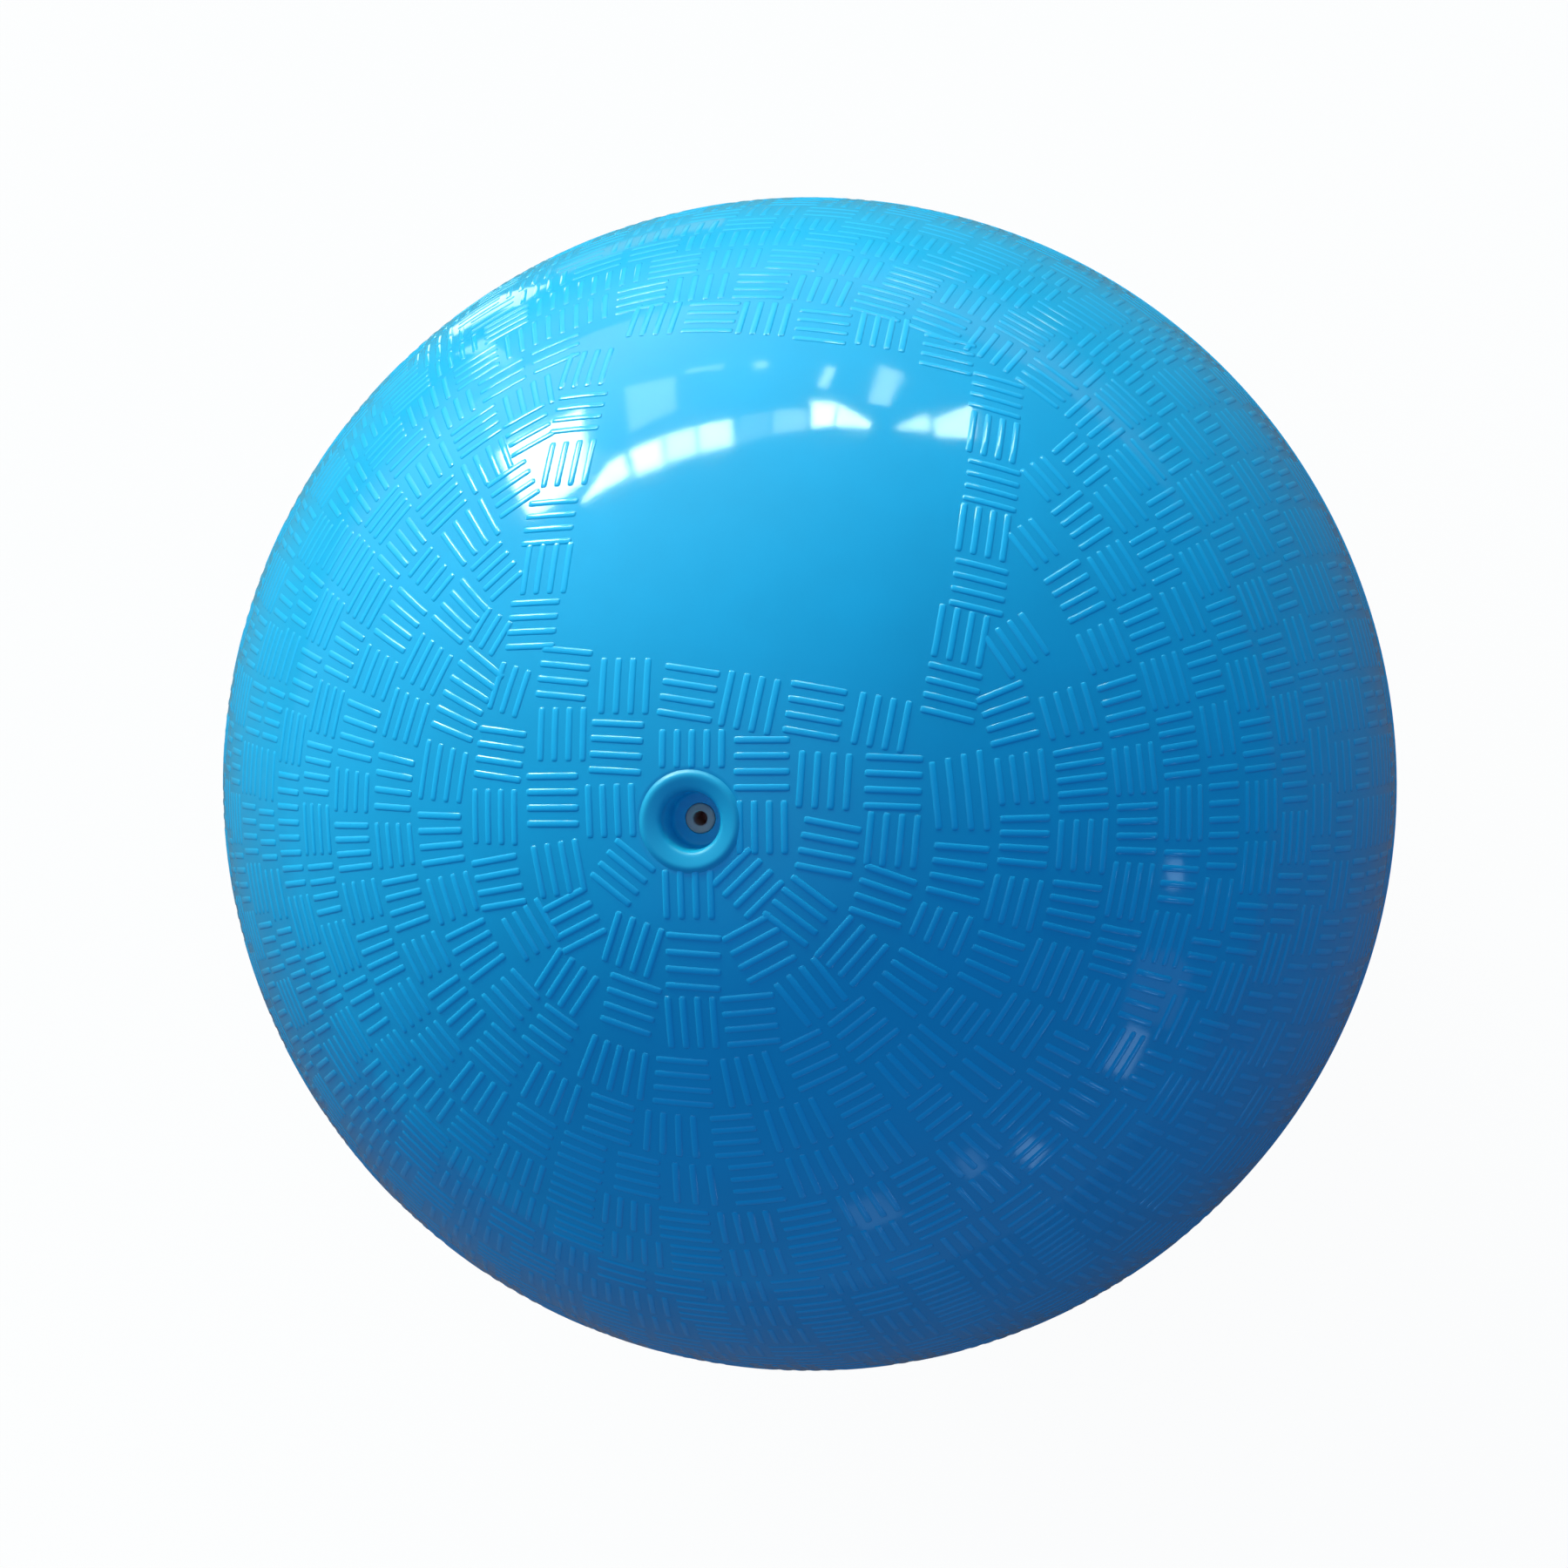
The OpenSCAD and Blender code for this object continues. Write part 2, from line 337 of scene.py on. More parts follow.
def sharpen(mesh, angle):
    """Marks as sharp the edges where two faces meet at more than an angle, in degrees."""
    mesh.set_sharp_from_angle(angle=math.radians(angle))


def arc(x, y, r, start, end, steps):
    """Points on a round of a section, from one angle to another in degrees."""
    angles = np.radians(np.linspace(start, end, steps + 1))
    return [(x + r * math.cos(a), y + r * math.sin(a)) for a in angles]


def in_metres(profile):
    return [(r * MM, z * MM) for r, z in profile]


# Ribs

def rib_points(ribs):
    """The points of some ribs, by rib, by station along it, and from side to side of its section there."""
    across = np.array([-x for x, _ in RIB_FLANK] + [0.0] + [x for x, _ in RIB_FLANK[::-1]])
    height = np.array([z for _, z in RIB_FLANK] + [1.0] + [z for _, z in RIB_FLANK[::-1]])
    near_end = np.array(RIB_END_STEPS)
    directions = np.array(ribs)
    start, end = directions[:, 0], directions[:, 1]
    span = np.arccos(np.clip((start * end).sum(1), -1, 1))
    end_share = RIB_END / (BALL_R * span)
    steps = [end_share * t for t in near_end]
    steps += [end_share + (1 - 2 * end_share) * t for t in (1 / 3, 2 / 3)]
    steps += [1 - end_share * t for t in near_end[::-1]]
    rise = np.sqrt(1 - (1 - near_end) ** 2)
    rise[0] = RIB_END_FOOT
    rise = np.concatenate((rise, (1, 1), rise[::-1]))
    width = RIB_END_WIDTH + (1 - RIB_END_WIDTH) * rise
    rows = []
    for share, h, w in zip(steps, rise, width):
        first = np.sin((1 - share) * span) / np.sin(span)
        second = np.sin(share * span) / np.sin(span)
        middle = start * first[:, None] + end * second[:, None]
        side = np.cross(start, end)
        side /= np.linalg.norm(side, axis=1)[:, None]
        point = middle[:, None, :] * BALL_R + side[:, None, :] * (across * RIB_W * w)[None, :, None]
        point /= np.linalg.norm(point, axis=2)[:, :, None]
        top = RIB_H * np.interp(np.abs(point[:, :, 2]), np.cos(np.radians(RIB_FADE)), (RIB_LOW, 1.0))
        rows.append(point * (BALL_R - RIB_SINK + height * h * top)[:, :, None])
    return np.stack(rows, 1)


def rib_mesh(name, ribs):
    """Moulded ribs with a rounded section that runs out smoothly into the skin, and rounded ends."""
    points = rib_points(ribs)
    count, stations, section = points.shape[:3]
    base = (np.arange(count) * stations * section)[:, None]
    local = []
    for s in range(stations - 1):
        for p in range(section):
            q = (p + 1) % section
            local.append((s * section + p, (s + 1) * section + p, (s + 1) * section + q, s * section + q))
    quads = (base[:, :, None] + np.array(local)[None]).reshape(-1, 4)
    first_cap = base + np.arange(section)[None]
    last_cap = base + (stations - 1) * section + np.arange(section)[::-1][None]
    mesh = mesh_from_arrays(name, points.reshape(-1, 3), [quads, np.concatenate((first_cap, last_cap))])
    # The hem that a rib ends in under the skin is its only hard edge
    ends = np.zeros(len(mesh.edges) * 2, np.int32)
    mesh.edges.foreach_get("vertices", ends)
    place = ends.reshape(-1, 2) % section
    hem = (place[:, 0] == place[:, 1]) & ((place[:, 0] == 0) | (place[:, 0] == section - 1))
    sharp = mesh.attributes.new("sharp_edge", "BOOLEAN", "EDGE")
    sharp.data.foreach_set("value", hem)
    return mesh


# Skin of the ball

def skin_profile():
    """Half section of the cover: the outside with the mould line, and the inside, open at the valve."""
    line_half = math.degrees(MOULD_LINE_W / BALL_R)
    start = math.degrees(math.asin(HOLE_R / BALL_R))
    above, across_line, below = SKIN_ROWS
    outer = list(np.linspace(start, 90 - 2 * line_half, above))
    outer += [90 + line_half * t for t in np.linspace(-1, 1, across_line)]
    outer += list(np.linspace(90 + 2 * line_half, 180, below))
    profile = []
    for colatitude in outer:
        across = abs(colatitude - 90) / line_half
        lift = MOULD_LINE_H * (0.5 + 0.5 * math.cos(math.pi * across)) if across < 1 else 0
        c = math.radians(colatitude)
        profile.append(((BALL_R + lift) * math.sin(c), (BALL_R + lift) * math.cos(c)))
    inner_r = BALL_R - SKIN_T
    inner_start = math.degrees(math.asin(HOLE_R / inner_r))
    for colatitude in np.linspace(180, inner_start, INSIDE_ROWS):
        c = math.radians(colatitude)
        profile.append((inner_r * math.sin(c), inner_r * math.cos(c)))
    return profile


# Valve: points of its sections in millimetres, as distance from its axis and height over the ball's centre

LIP = ((8.5, 107.6), (8.32, 107.69), (8.17, 107.79), (8.02, 107.91), (7.87, 108.02), (7.7, 108.1),
       (7.52, 108.15), (7.3, 108.16), (7.05, 108.14), (6.7, 108.07), (6.35, 107.99), (6.0, 107.91),
       (5.65, 107.82), (5.35, 107.71), (5.1, 107.54), (4.93, 107.27), (4.82, 106.9), (4.75, 106.4),
       (4.7, 105.5), (4.7, 100.9))
WELL_FLOOR = ((3.1, 99.4), (2.52, 99.4))
CORE_SEAT = ((2.5, 99.36), (2.5, 97.85), (3.75, 97.85), (3.75, 88.85), (2.55, 88.85), (2.55, 86.4))
STEM_TOP = (8.0, 102.54)
NEEDLE_BORE = ((1.15, 91.7), (1.15, 99.35))
CORE_BODY = ((2.45, 97.8), (3.7, 97.8), (3.7, 88.9), (2.5, 88.9), (2.5, 85.2))
CORE_MIDDLE = ((0.0, 84.9), (0.0, 91.4))
# Its rounds, as middle, radius, first and last angle, and steps
WELL_CORNER = (3.9, 100.2, 0.8, 0, -90, 8)
STEM_FOOT = (6.5, 87.9, 1.5, -90, 0, 8)
HEAD_INSIDE = (1.45, 99.4, 0.3, 180, 90, 6)
HEAD_OUTSIDE = (2.15, 99.4, 0.3, 90, 0, 8)
TIP_FOOT = (2.2, 85.2, 0.3, 0, -90, 4)
# Its points that lie on spheres, as distances from the ball's centre and from the valve's axis
FLANGE = ((102.85, 8.0), (102.85, 15.0), (104.05, 15.0), (104.05, 6.8))
LIP_UNDERSIDE = ((108.05, 6.8), (108.05, 7.3), (107.95, 7.7), (107.95, 8.1), (107.95, 8.45))


def cup_profile():
    """Half section of the valve housing: lip, flared mouth, well, the core's seat, stem and flange."""
    profile = [*LIP, *arc(*WELL_CORNER), *WELL_FLOOR, *CORE_SEAT, *arc(*STEM_FOOT), STEM_TOP]
    profile += [(edge, math.sqrt(radius ** 2 - edge ** 2)) for radius, edge in FLANGE + LIP_UNDERSIDE]
    return in_metres(profile)


def core_profile():
    """Half section of the valve core: rounded head, needle bore, body and tip."""
    profile = [*NEEDLE_BORE, *arc(*HEAD_INSIDE), *arc(*HEAD_OUTSIDE), *CORE_BODY, *arc(*TIP_FOOT)]
    return in_metres([*profile, *CORE_MIDDLE])


# Materials

# A Mix node's sockets for colours, which share their names with those for numbers
MIX_COLOURS = slice(6, 8)
MIX_COLOUR_OUT = 2


class Nodes:
    """Short forms for building a material's nodes."""

    def __init__(self, name):
        self.material = bpy.data.materials.new(name)
        self.material.use_nodes = True
        self.tree = self.material.node_tree
        self.shader = self.tree.nodes["Principled BSDF"]

    def add(self, kind, **settings):
        node = self.tree.nodes.new(kind)
        for key, value in settings.items():
            if hasattr(node, key):
                setattr(node, key, value)
            else:
                node.inputs[key].default_value = value
        return node

    def link(self, source, target):
        self.tree.links.new(source, target)

    def place(self):
        """The point on the object, in metres."""
        return self.add("ShaderNodeTexCoord").outputs["Object"]

    def noise(self, place, scale, detail=3.0):
        node = self.add("ShaderNodeTexNoise", Scale=scale, Detail=detail)
        self.link(place, node.inputs["Vector"])
        return node.outputs["Fac"]

    def remap(self, value, low, high, to_low, to_high):
        node = self.add("ShaderNodeMapRange")
        for key, number in zip(("From Min", "From Max", "To Min", "To Max"), (low, high, to_low, to_high)):
            node.inputs[key].default_value = number
        self.link(value, node.inputs["Value"])
        return node.outputs["Result"]

    def blend(self, value, first, second):
        """A colour between two, which may be colours or sockets."""
        node = self.add("ShaderNodeMix", data_type="RGBA")
        self.link(value, node.inputs[0])
        for socket, colour in zip(node.inputs[MIX_COLOURS], (first, second)):
            if hasattr(colour, "links"):
                self.link(colour, socket)
            else:
                socket.default_value = (*colour, 1)
        return node.outputs[MIX_COLOUR_OUT]

    def bump(self, height, distance, below=None):
        node = self.add("ShaderNodeBump", Strength=1.0, Distance=distance)
        self.link(height, node.inputs["Height"])
        if below is not None:
            self.link(below, node.inputs["Normal"])
        return node.outputs["Normal"]


# Grain of the materials: noise cells in a metre, and depths
MOTTLE_SCALE = 45.0
MOTTLE_DETAIL = 4.0
MOTTLE_RANGE = (0.35, 0.65)         # range of the noise that makes the change
SMEAR_SCALE = 160.0
SMEAR_RANGE = (0.3, 0.7)
SMEAR_SHARES = (0.8, 1.25)          # of the material's roughness
MATTE_SPREAD = 0.08                 # of roughness, on either side
WAVE_SCALE = 90.0
WAVE_DEPTH = 0.02 * MM
PEEL_SCALE = 700.0
PEEL_DEPTH = 0.003 * MM
GRAIN_SCALE = 400.0
GRAIN_SMEAR_SCALE = 1200.0
GRAIN_BUMP_SCALE = 1600.0
GRAIN_DEPTH = 0.04 * MM
STRAND_SCALE = 450.0
STRAND_DEPTH = 0.15 * MM
STRAND_WOBBLE = 0.6
STRAND_ROUGHNESS = (0.95, 0.7)      # between the strands and on them
STRAND_TILTS = ((0.3, 0.2, 0.0), (1.3, 0.4, 0.9), (0.5, 1.4, 2.1))


def glossy_rubber(name, base, deep, roughness, change):
    """Moulded glossy rubber: a faint mottle in its colour and gloss, and a slightly wavy surface. It
    changes to another, lighter colour, a painted light, between two distances from the ball's centre."""
    n = Nodes(name)
    place = n.place()
    mottle = n.remap(n.noise(place, MOTTLE_SCALE, MOTTLE_DETAIL), *MOTTLE_RANGE, 0.0, 1.0)
    reach = n.add("ShaderNodeVectorMath", operation="LENGTH")
    n.link(place, reach.inputs[0])
    other, start, end = change
    # Painted light: between these two distances the colour turns to the lighter one
    share = n.remap(reach.outputs["Value"], start, end, 0.0, 1.0)
    colour = n.blend(share, n.blend(mottle, deep, base), other)
    n.link(colour, n.shader.inputs["Base Color"])
    smear = n.noise(place, SMEAR_SCALE)
    low, high = (roughness * share for share in SMEAR_SHARES)
    n.link(n.remap(smear, *SMEAR_RANGE, low, high), n.shader.inputs["Roughness"])
    waves = n.bump(n.noise(place, WAVE_SCALE, detail=1.0), WAVE_DEPTH)
    fine = n.bump(n.noise(place, PEEL_SCALE, detail=2.0), PEEL_DEPTH, below=waves)
    n.link(fine, n.shader.inputs["Normal"])
    return n.material


def matte_rubber(name, base, deep, roughness):
    """Plain rubber with a fine grain."""
    n = Nodes(name)
    place = n.place()
    n.link(n.blend(n.noise(place, GRAIN_SCALE), deep, base), n.shader.inputs["Base Color"])
    smear = n.noise(place, GRAIN_SMEAR_SCALE)
    low, high = roughness - MATTE_SPREAD, roughness + MATTE_SPREAD
    n.link(n.remap(smear, *SMEAR_RANGE, low, high), n.shader.inputs["Roughness"])
    n.link(n.bump(n.noise(place, GRAIN_BUMP_SCALE), GRAIN_DEPTH), n.shader.inputs["Normal"])
    return n.material


def wound_thread(name, base, gap):
    """Thread wound round the ball in many directions."""
    n = Nodes(name)
    place = n.place()
    strands = None
    for tilt in STRAND_TILTS:
        turn = n.add("ShaderNodeMapping", vector_type="POINT")
        turn.inputs["Rotation"].default_value = tilt
        n.link(place, turn.inputs["Vector"])
        wave = n.add("ShaderNodeTexWave", Scale=STRAND_SCALE, Distortion=STRAND_WOBBLE, Detail=1.0)
        n.link(turn.outputs["Vector"], wave.inputs["Vector"])
        if strands is None:
            strands = wave.outputs["Fac"]
        else:
            top = n.add("ShaderNodeMath", operation="MAXIMUM")
            n.link(strands, top.inputs[0])
            n.link(wave.outputs["Fac"], top.inputs[1])
            strands = top.outputs[0]
    n.link(n.blend(strands, gap, base), n.shader.inputs["Base Color"])
    n.link(n.remap(strands, 0.0, 1.0, *STRAND_ROUGHNESS), n.shader.inputs["Roughness"])
    n.link(n.bump(strands, STRAND_DEPTH), n.shader.inputs["Normal"])
    return n.material


BALL_BLUE = (0.004, 0.31, 0.61)
BALL_DEEP = (0.004, 0.29, 0.57)
VALVE_BLUE = (0.006, 0.32, 0.58)
VALVE_DEEP = (0.005, 0.30, 0.55)
COVER_ROUGHNESS = 0.075
VALVE_ROUGHNESS = 0.34
# Changes of colour, both painted light: lighter tops of the ribs, as painted light where more light falls
# on their crests, and lighter rubber down in the well, as painted light as if light shone through it, each
# with the distances from the ball's centre where the change starts and ends
# painted light: the tops of the ribs are made lighter where more light falls on them
RIB_TOPS_PAINTED_LIGHT = ((0.005, 0.35, 0.68), BALL_R, BALL_R + 0.1 * MM)
# painted light: the rubber down in the well is made lighter, as if light shone through it
WELL_PAINTED_LIGHT = ((0.006, 0.52, 0.80), BALL_R - 0.4 * MM, BALL_R - 2.5 * MM)
MATERIALS = {
    "cover_rubber": glossy_rubber("cover_rubber", BALL_BLUE, BALL_DEEP, COVER_ROUGHNESS, RIB_TOPS_PAINTED_LIGHT),
    "valve_rubber": glossy_rubber("valve_rubber", VALVE_BLUE, VALVE_DEEP, VALVE_ROUGHNESS, WELL_PAINTED_LIGHT),
    "core_rubber": matte_rubber("core_rubber", (0.95, 0.53, 0.41), (0.84, 0.44, 0.34), 0.4),
    "carcass_rubber": matte_rubber("carcass_rubber", (0.16, 0.15, 0.14), (0.1, 0.095, 0.09), 0.75),
    "bladder_rubber": matte_rubber("bladder_rubber", (0.05, 0.05, 0.055), (0.03, 0.03, 0.033), 0.55),
    "patch_rubber": matte_rubber("patch_rubber", (0.1, 0.1, 0.1), (0.06, 0.06, 0.06), 0.8),
    "winding_thread": wound_thread("winding_thread", (0.82, 0.8, 0.72), (0.35, 0.33, 0.28)),
}


def dress(piece, slot):
    """Gives a piece its slot's material and lets it ride on the ball."""
    piece.data.materials.clear()
    piece.data.materials.append(MATERIALS[slot])
    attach(piece, "root")


# Pieces

cover_skin = new_piece("cover_skin", lathe("cover_skin", skin_profile(), SKIN_SEGMENTS))
dress(cover_skin, "cover_rubber")
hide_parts("cover")

for zone, zone_ribs in grip_ribs().items():
    for first in range(0, len(zone_ribs), RIBS_PER_PIECE):
        rib_name = f"{zone}_{first // RIBS_PER_PIECE + 1}"
        ribs = zone_ribs[first:first + RIBS_PER_PIECE]
        dress(new_piece(rib_name, rib_mesh(rib_name, ribs)), "cover_rubber")

valve_cup = new_piece("valve_cup", lathe("valve_cup", cup_profile(), CUP_SEGMENTS))
sharpen(valve_cup.data, SHARP_ANGLE)
dress(valve_cup, "valve_rubber")
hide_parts("valve_housing")

valve_plug = new_piece("valve_plug", lathe("valve_plug", core_profile(), CORE_SEGMENTS))
sharpen(valve_plug.data, SHARP_ANGLE)
dress(valve_plug, "core_rubber")
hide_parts("valve_core")

for node_name, node_slot in (("backing_ply", "carcass_rubber"), ("thread_winding", "winding_thread"),
                             ("bladder", "bladder_rubber"), ("valve_patch", "patch_rubber")):
    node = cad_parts[node_name]
    node.data.materials.clear()
    node.data.materials.append(MATERIALS[node_slot])


# Floor, light and camera

FLOOR_R = 0.6
FLOOR_CORNERS = 96
FLOOR_ROUGHNESS = 0.9
FLOOR_SEEN = (0.9, 0.9, 0.9)        # the floor's colour as the camera sees it
FLOOR_FELT = (0.19, 0.13, 0.14)     # and as the object sees it, in a dim room
FLOOR_LIT = (0.29, 0.50, 0.50)      # and on the side toward the windows
WINDOW_SIDE = 115.0                 # azimuth of the windows
LIT_REACH = (0.02, 0.2)             # reach toward them, in metres, over which the floor becomes lit
FLOOR_WHITE = 0.96                  # share of plain white in the floor near the object
WHITE_REACH = (0.2, 0.54)           # distance from the object over which that share rises to all
GLOSS_WHITE = 0.02                  # share of plain white in mirror images of the floor
GLOSS_LIT = 0.75                    # and where the floor glares
SHEEN_SIDE = 100.0                  # azimuth of the glare
SHEEN_REACH = (0.25, 0.4)           # reach toward it, in metres, over which the glare comes in


def floor_material():
    """White to the camera, with the object's shadow, which fades to plain white at the floor's edge.
    From below it is clear, so that the underside shows."""
    n = Nodes("floor")
    ray = n.add("ShaderNodeLightPath")

    def reach_toward(azimuth):
        node = n.add("ShaderNodeVectorMath", operation="DOT_PRODUCT")
        node.inputs[1].default_value = on_ball(90, azimuth)
        n.link(n.place(), node.inputs[0])
        return node.outputs["Value"]

    bright_side = n.remap(reach_toward(WINDOW_SIDE), *LIT_REACH, 0.0, 1.0)
    mirrored = n.remap(reach_toward(SHEEN_SIDE), *SHEEN_REACH, GLOSS_WHITE, GLOSS_LIT)
    felt = n.blend(bright_side, FLOOR_FELT, FLOOR_LIT)
    n.link(n.blend(ray.outputs["Is Camera Ray"], felt, FLOOR_SEEN), n.shader.inputs["Base Color"])
    n.shader.inputs["Roughness"].default_value = FLOOR_ROUGHNESS
    n.shader.inputs["Specular IOR Level"].default_value = 0.0
    reach = n.add("ShaderNodeVectorMath", operation="LENGTH")
    n.link(n.place(), reach.inputs[0])
    near = n.remap(reach.outputs["Value"], *WHITE_REACH, FLOOR_WHITE, 1.0)
    weights = ((ray.outputs["Is Camera Ray"], near), (ray.outputs["Is Glossy Ray"], mirrored),
               (ray.outputs["Is Transmission Ray"], near))
    total = None
    for kind, weight in weights:
        part = n.add("ShaderNodeMath", operation="MULTIPLY")
        n.link(kind, part.inputs[0])
        n.link(weight, part.inputs[1])
        if total is not None:
            both = n.add("ShaderNodeMath", operation="ADD")
            n.link(total, both.inputs[0])
            n.link(part.outputs[0], both.inputs[1])
            part = both
        total = part.outputs[0]
    glow = n.add("ShaderNodeEmission", Strength=1.0)
    mix = n.add("ShaderNodeMixShader")
    n.link(total, mix.inputs[0])
    n.link(n.shader.outputs[0], mix.inputs[1])
    n.link(glow.outputs[0], mix.inputs[2])
    below = n.add("ShaderNodeMixShader")
    n.link(n.add("ShaderNodeNewGeometry").outputs["Backfacing"], below.inputs[0])
    n.link(mix.outputs[0], below.inputs[1])
    n.link(n.add("ShaderNodeBsdfTransparent").outputs[0], below.inputs[2])
    n.link(below.outputs[0], n.tree.nodes["Material Output"].inputs["Surface"])
    return n.material


def add_floor():
    turn = np.linspace(0, 2 * math.pi, FLOOR_CORNERS, endpoint=False)
    rim = np.stack((FLOOR_R * np.cos(turn), FLOOR_R * np.sin(turn), np.zeros(FLOOR_CORNERS)), 1)
    floor = new_piece("floor", mesh_from_arrays("floor", rim, [np.arange(FLOOR_CORNERS)[None]]))
    floor.location.z = FLOOR_Z
    floor.data.materials.append(floor_material())


# The room: a level from every side, and broad glows as azimuth, elevation, sharpness and colour
ROOM_LEVEL = (0.04, 0.25, 0.48)
ROOM_GLOWS = [
    (WINDOW_SIDE, 5.0, 3.5, (1.20, 1.50, 1.44)),
    (180.0, 0.0, 3.0, (0.03, 0.28, 0.24)),
    (285.0, -10.0, 5.0, (0.10, -0.07, -0.25)),
    (118.0, -14.0, 20.0, (0.90, 0.45, 0.20)),
    (0.0, 90.0, 12.0, (0.14, 0.00, 0.00)),
]


def add_world():
    """A dim room with a bright side, and plain white behind the object."""
    world = bpy.data.worlds.new("studio")
    bpy.context.scene.world = world
    world.use_nodes = True
    nodes, links = world.node_tree.nodes, world.node_tree.links
    nodes.clear()
    place = nodes.new("ShaderNodeTexCoord")

    def math_node(kind, value, second=0.0, third=0.0):
        node = nodes.new("ShaderNodeMath")
        node.operation = kind
        links.new(value, node.inputs[0])
        node.inputs[1].default_value = second
        node.inputs[2].default_value = third
        return node.outputs[0]

    level = None
    for azimuth, elevation, sharpness, colour in ROOM_GLOWS:
        toward = nodes.new("ShaderNodeVectorMath")
        toward.operation = "DOT_PRODUCT"
        toward.inputs[1].default_value = on_ball(90 - elevation, azimuth)
        links.new(place.outputs["Generated"], toward.inputs[0])
        offset = math_node("MULTIPLY_ADD", toward.outputs["Value"], sharpness, -sharpness)
        fall = math_node("EXPONENT", offset)
        glow = nodes.new("ShaderNodeVectorMath")
        glow.operation = "MULTIPLY_ADD"
        links.new(fall, glow.inputs[0])
        glow.inputs[1].default_value = colour
        if level is None:
            glow.inputs[2].default_value = ROOM_LEVEL
        else:
            links.new(level, glow.inputs[2])
        level = glow.outputs["Vector"]
    room = nodes.new("ShaderNodeBackground")
    links.new(level, room.inputs["Color"])
    white = nodes.new("ShaderNodeBackground")
    white.inputs["Color"].default_value = (1, 1, 1, 1)
    ray = nodes.new("ShaderNodeLightPath")
    seen = nodes.new("ShaderNodeMath")
    seen.operation = "MAXIMUM"
    links.new(ray.outputs["Is Camera Ray"], seen.inputs[0])
    links.new(ray.outputs["Is Transmission Ray"], seen.inputs[1])
    mix = nodes.new("ShaderNodeMixShader")
    links.new(seen.outputs[0], mix.inputs[0])
    links.new(room.outputs[0], mix.inputs[1])
    links.new(white.outputs[0], mix.inputs[2])
    out = nodes.new("ShaderNodeOutputWorld")
    links.new(mix.outputs[0], out.inputs["Surface"])


# Windows of the room: a row of glowing panes far away, each as a share of the full brightness and its
# corners as azimuth and elevation
WINDOW_DISTANCE = 12.0
WINDOW_GLOW = 50.0
WINDOW_MIRRORED = 0.7     # share of that brightness in mirror images of the windows
WINDOW_TINT = (0.8, 1.0, 0.72)
WINDOW_PANES = [
    (0.80, (125.3, 22.4), (118.9, 17.3), (116.2, 16.7), (116.0, 21.8)),
    (0.84, (115.2, 16.5), (110.1, 15.9), (109.9, 22.1), (114.9, 22.4)),
    (0.60, (109.5, 15.8), (104.6, 15.2), (104.2, 21.6), (109.3, 22.0)),
    (0.64, (104.1, 15.1), (98.9, 14.6), (98.2, 21.0), (103.7, 21.6)),
    (0.10, (97.6, 14.0), (92.9, 13.1), (92.4, 18.8), (97.4, 20.8)),
    (0.18, (92.5, 13.0), (87.8, 12.2), (86.8, 17.0), (92.0, 18.6)),
    (0.84, (87.3, 10.2), (83.6, 9.7), (83.0, 15.3), (86.0, 16.3)),
    (0.70, (83.2, 9.7), (77.6, 12.4), (77.4, 13.9), (82.6, 15.2)),
    (0.50, (73.9, 12.1), (70.6, 5.9), (68.9, 9.7)),
    (0.50, (69.4, 6.9), (66.2, -0.8), (62.9, 6.2), (67.7, 10.2)),
    (0.14, (114.6, 1.0), (107.5, 2.0), (107.4, 10.2), (114.6, 12.4)),
    (0.78, (133.5, -1.0), (120.8, 1.5), (121.6, 12.5), (123.6, 18.6), (133.5, 18.5)),
    (0.14, (106.3, 0.6), (101.0, 0.8), (101.0, 2.0), (106.3, 1.8)),
    (0.21, (96.8, 0.6), (95.0, 0.6), (95.0, 2.6), (96.8, 2.6)),
    (0.26, (87.0, 1.0), (85.6, 1.2), (85.8, 6.6), (87.2, 6.4)),
    (0.21, (80.0, -2.0), (76.6, -1.6), (76.2, 7.4), (79.4, 8.0)),
]
# Faint lights on the other side, in the same way
LAMP_TINT = (0.38, 0.67, 1.0)
LAMPS = [
    (0.012, (-26.0, 9.0), (-24.0, 2.0), (-26.5, -5.5), (-35.0, -6.5), (-35.0, 6.5)),
    (0.070, (-11.0, 8.5), (-11.0, 5.0), (-15.0, 3.5), (-15.5, 7.0)),
    (0.050, (-36.0, 3.0), (-36.5, -2.5), (-43.5, -4.5), (-43.5, 2.5)),
    (0.055, (-60.5, 2.5), (-57.5, 4.0), (-57.5, -3.0), (-61.0, -5.0)),
    (0.028, (-67.5, 7.5), (-64.5, 8.5), (-65.0, 2.0), (-68.0, 1.5)),
    (0.020, (-85.5, 5.0), (-79.5, 7.0), (-78.0, -0.5), (-84.0, -2.0)),
]
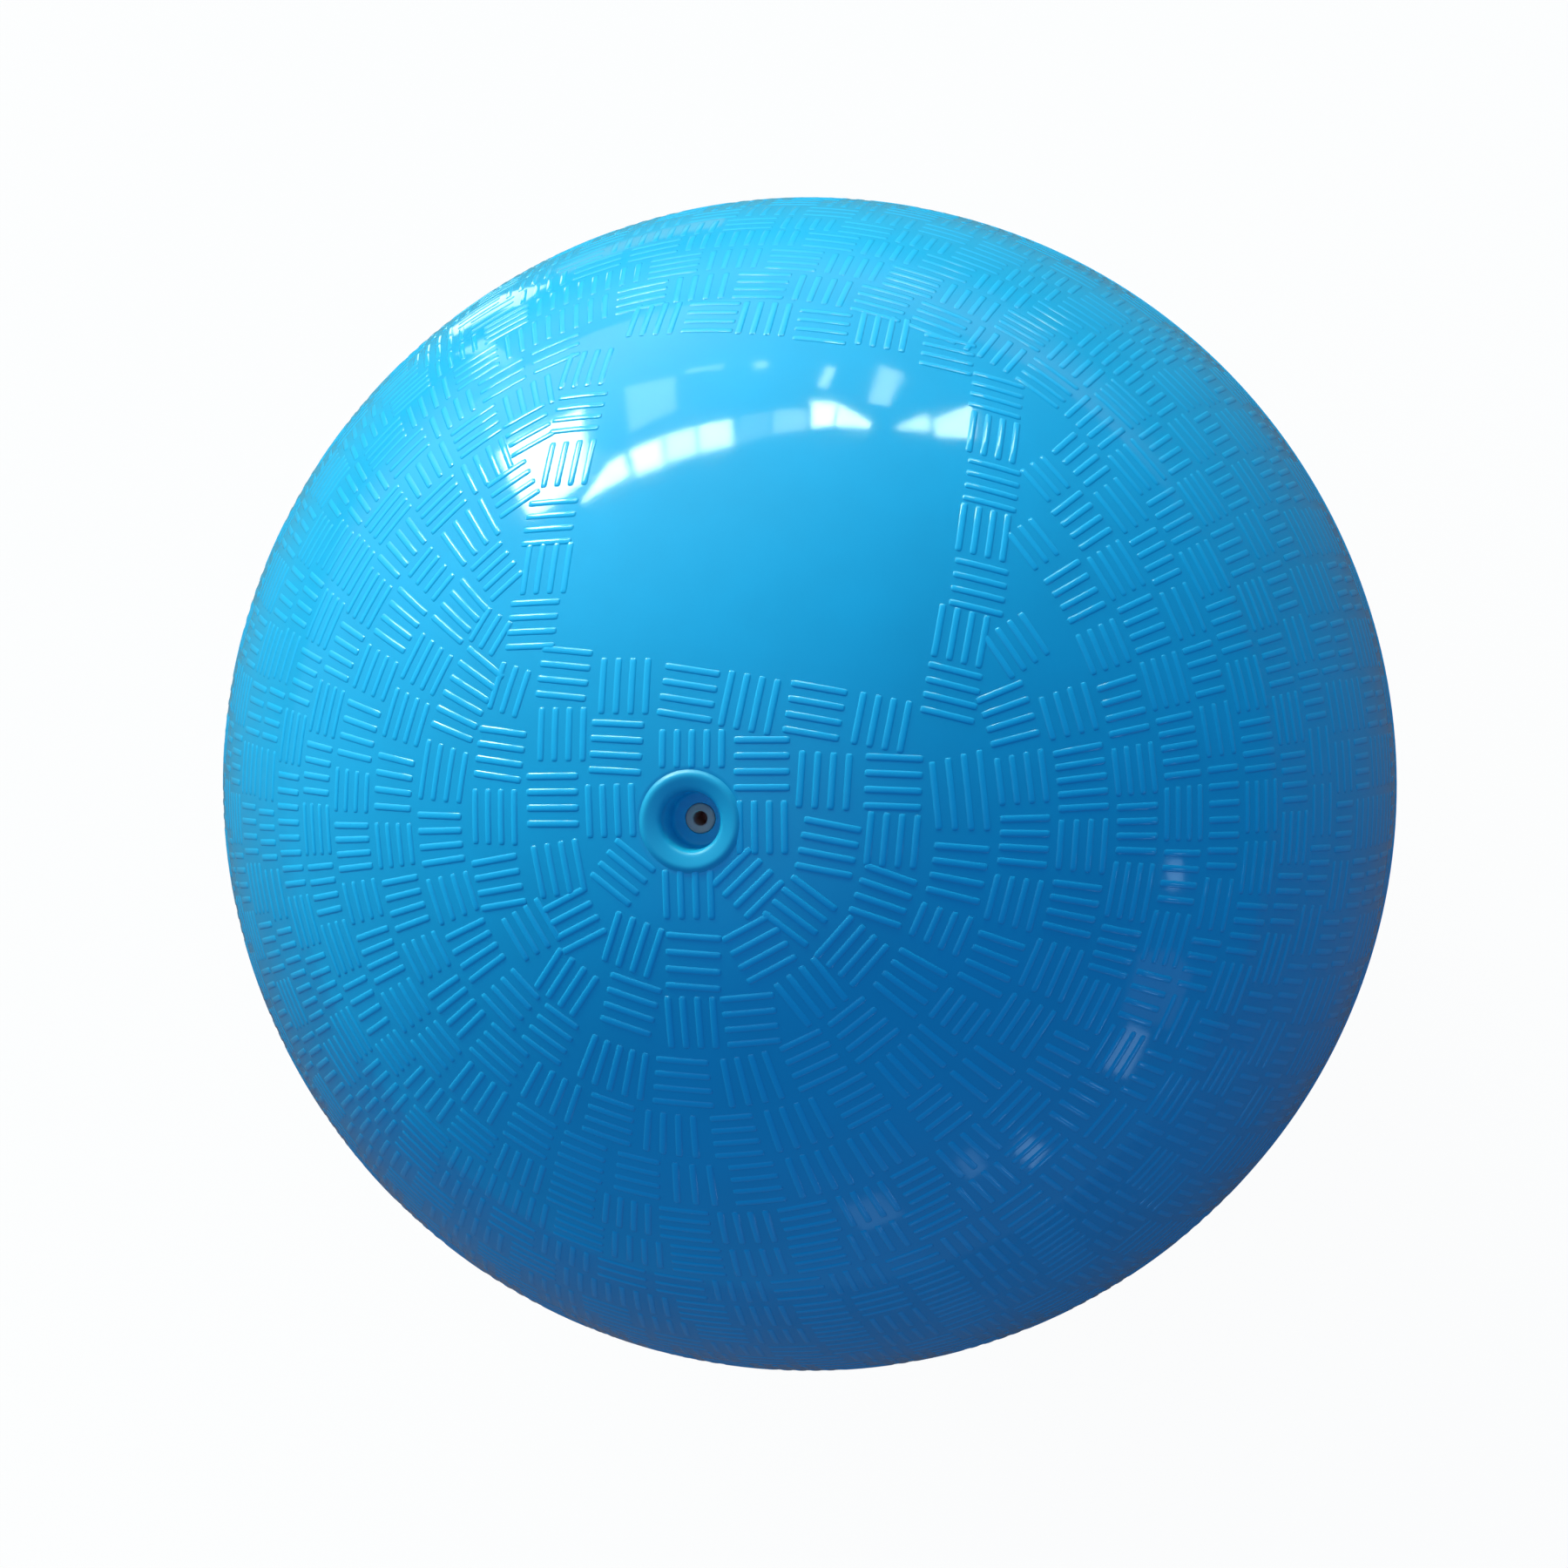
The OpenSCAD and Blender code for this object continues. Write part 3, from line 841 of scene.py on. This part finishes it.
# Patches of their light on the floor, in the same way but with corners as azimuth and distance
FLOOR_PATCHES = [
    (0.06, (134.0, 0.185), (133.5, 0.215), (129.0, 0.225), (125.5, 0.255), (122.5, 0.235), (128.0, 0.19)),
    (0.04, (133.5, 0.275), (131.0, 0.33), (128.0, 0.56), (126.8, 0.52), (130.0, 0.29)),
    (0.012, (122.0, 0.20), (121.0, 0.23), (104.0, 0.215), (104.0, 0.19)),
]


def glowing(name, points, share, tint, mirrored=1.0, mirrored_only=False):
    """A flat face that only glows, out of the camera's sight, and less in mirror images of it."""
    face = new_piece(name, mesh_from_arrays(name, points, [np.arange(len(points))[None]]))
    n = Nodes(name)
    glow = n.add("ShaderNodeEmission")
    glow.inputs["Color"].default_value = (*tint, 1)
    level = WINDOW_GLOW * share
    is_mirror_image = n.add("ShaderNodeLightPath").outputs["Is Glossy Ray"]
    n.link(n.remap(is_mirror_image, 0.0, 1.0, level, level * mirrored), glow.inputs["Strength"])
    n.link(glow.outputs[0], n.tree.nodes["Material Output"].inputs["Surface"])
    face.data.materials.append(n.material)
    face.visible_camera = False
    if mirrored_only:
        face.visible_diffuse = False
        face.visible_shadow = False


def add_windows():
    for kind, panes, tint, mirrored in (("window", WINDOW_PANES, WINDOW_TINT, WINDOW_MIRRORED),
                                        ("lamp", LAMPS, LAMP_TINT, 1.0)):
        for number, (share, *corners) in enumerate(panes):
            points = np.array([on_ball(90 - elevation, azimuth) for azimuth, elevation in corners])
            glowing(f"{kind}_{number}", points * WINDOW_DISTANCE, share, tint, mirrored)
    for number, (share, *corners) in enumerate(FLOOR_PATCHES):
        points = np.array([on_ball(90, azimuth) * distance for azimuth, distance in corners])
        points[:, 2] = FLOOR_Z + MM
        glowing(f"floor_patch_{number}", points, share, WINDOW_TINT, mirrored_only=True)


def add_camera():
    data = bpy.data.cameras.new("camera")
    data.sensor_width = SENSOR_WIDTH
    data.lens = LENS
    data.shift_x = SHIFT_X
    data.clip_start = CLIP_START
    camera = new_piece("camera", data)
    axes = Matrix((VIEW_RIGHT, VIEW_UP, VIEW_DIR)).transposed().to_4x4()
    camera.matrix_world = Matrix.Translation(VIEW_DIR * VIEW_DISTANCE) @ axes
    bpy.context.scene.camera = camera


add_floor()
add_world()
add_windows()
add_camera()
bpy.context.scene.view_settings.view_transform = "Standard"
